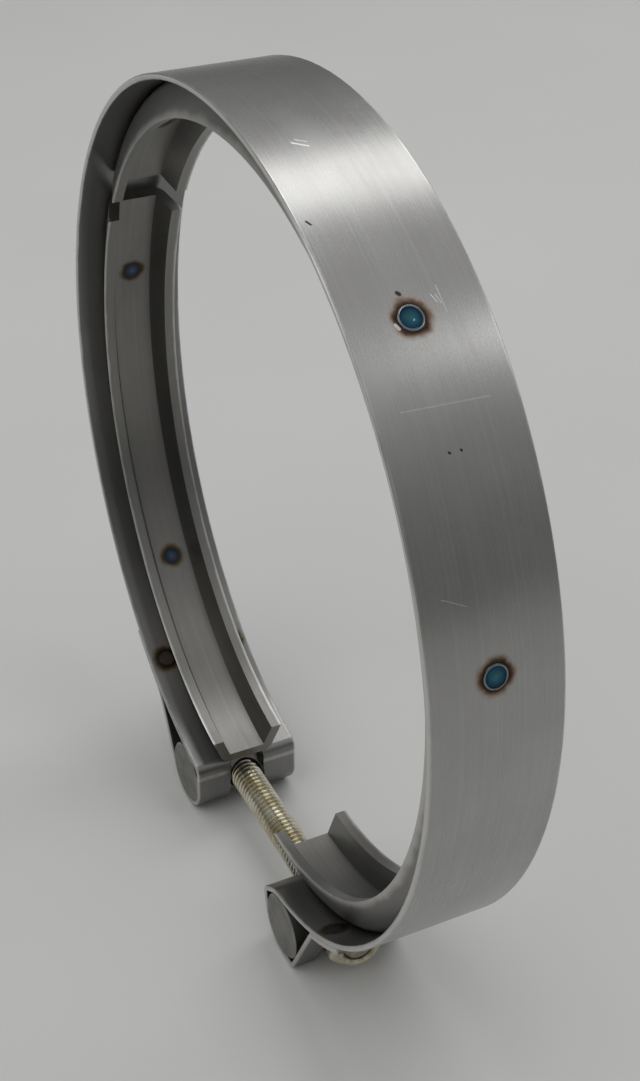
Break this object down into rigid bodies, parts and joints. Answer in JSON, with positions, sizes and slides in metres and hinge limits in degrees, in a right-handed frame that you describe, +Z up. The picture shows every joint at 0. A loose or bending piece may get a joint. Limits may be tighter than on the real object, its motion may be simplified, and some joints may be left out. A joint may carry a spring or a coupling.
{
  "type": "v band clamp",
  "caption": "V-band clamp: a thin strap folded into loops at its ends, with rolled V retainers welded inside and a tee bolt with a lock nut that draws the loops together.",
  "frame": {"origin": "centre of the ring, on the axis of the joint it clamps and midway between its rims", "axes": "+Y along the axis of the joint, +Z up from the bolt to the far side of the ring, +X along the bolt towards the nut"},
  "size_m": [0.19, 0.0278, 0.2003],
  "materials": {
    "band_steel": "satin stainless sheet with fine rolling lines, light scuffs and heat-tinted spot welds",
    "retainer_steel": "dull satin stainless sheet, heat-tinted at the spot welds",
    "trunnion_steel": "turned stainless bar with a matt end face",
    "plated_steel": "silver-plated thread, tarnished to a pale yellow-grey",
    "nut_plating": "silver-plated hexagon, tarnished to a pale yellow-grey"
  },
  "bodies": {
    "band": {"outer_band": "band_steel", "left_retainer": "retainer_steel", "top_retainer": "retainer_steel", "right_retainer": "retainer_steel"},
    "tee_bolt": {"head_trunnion": "trunnion_steel", "stud": "plated_steel"},
    "nut_bar": {"nut_trunnion": "trunnion_steel"},
    "nut": {"lock_nut": "nut_plating"}
  },
  "joints": [
    {"name": "bolt_swing", "type": "hinge", "parent": "band", "child": "tee_bolt", "pos_m": [-0.0333, 0, -0.096], "axis": [0, 1, 0], "range_deg": [-0.4, 0.4]},
    {"name": "nut_bar_turn", "type": "hinge", "parent": "band", "child": "nut_bar", "pos_m": [0.028, 0, -0.096], "axis": [0, 1, 0], "range_deg": [-0.4, 0.4]},
    {"name": "nut_run", "type": "slide", "parent": "tee_bolt", "child": "nut", "axis": [1, 0, 0], "range_m": [0, 0.0085]}
  ],
  "couplings": [
    {"joint": "nut_bar_turn", "follows": "bolt_swing", "ratio": 1}
  ]
}
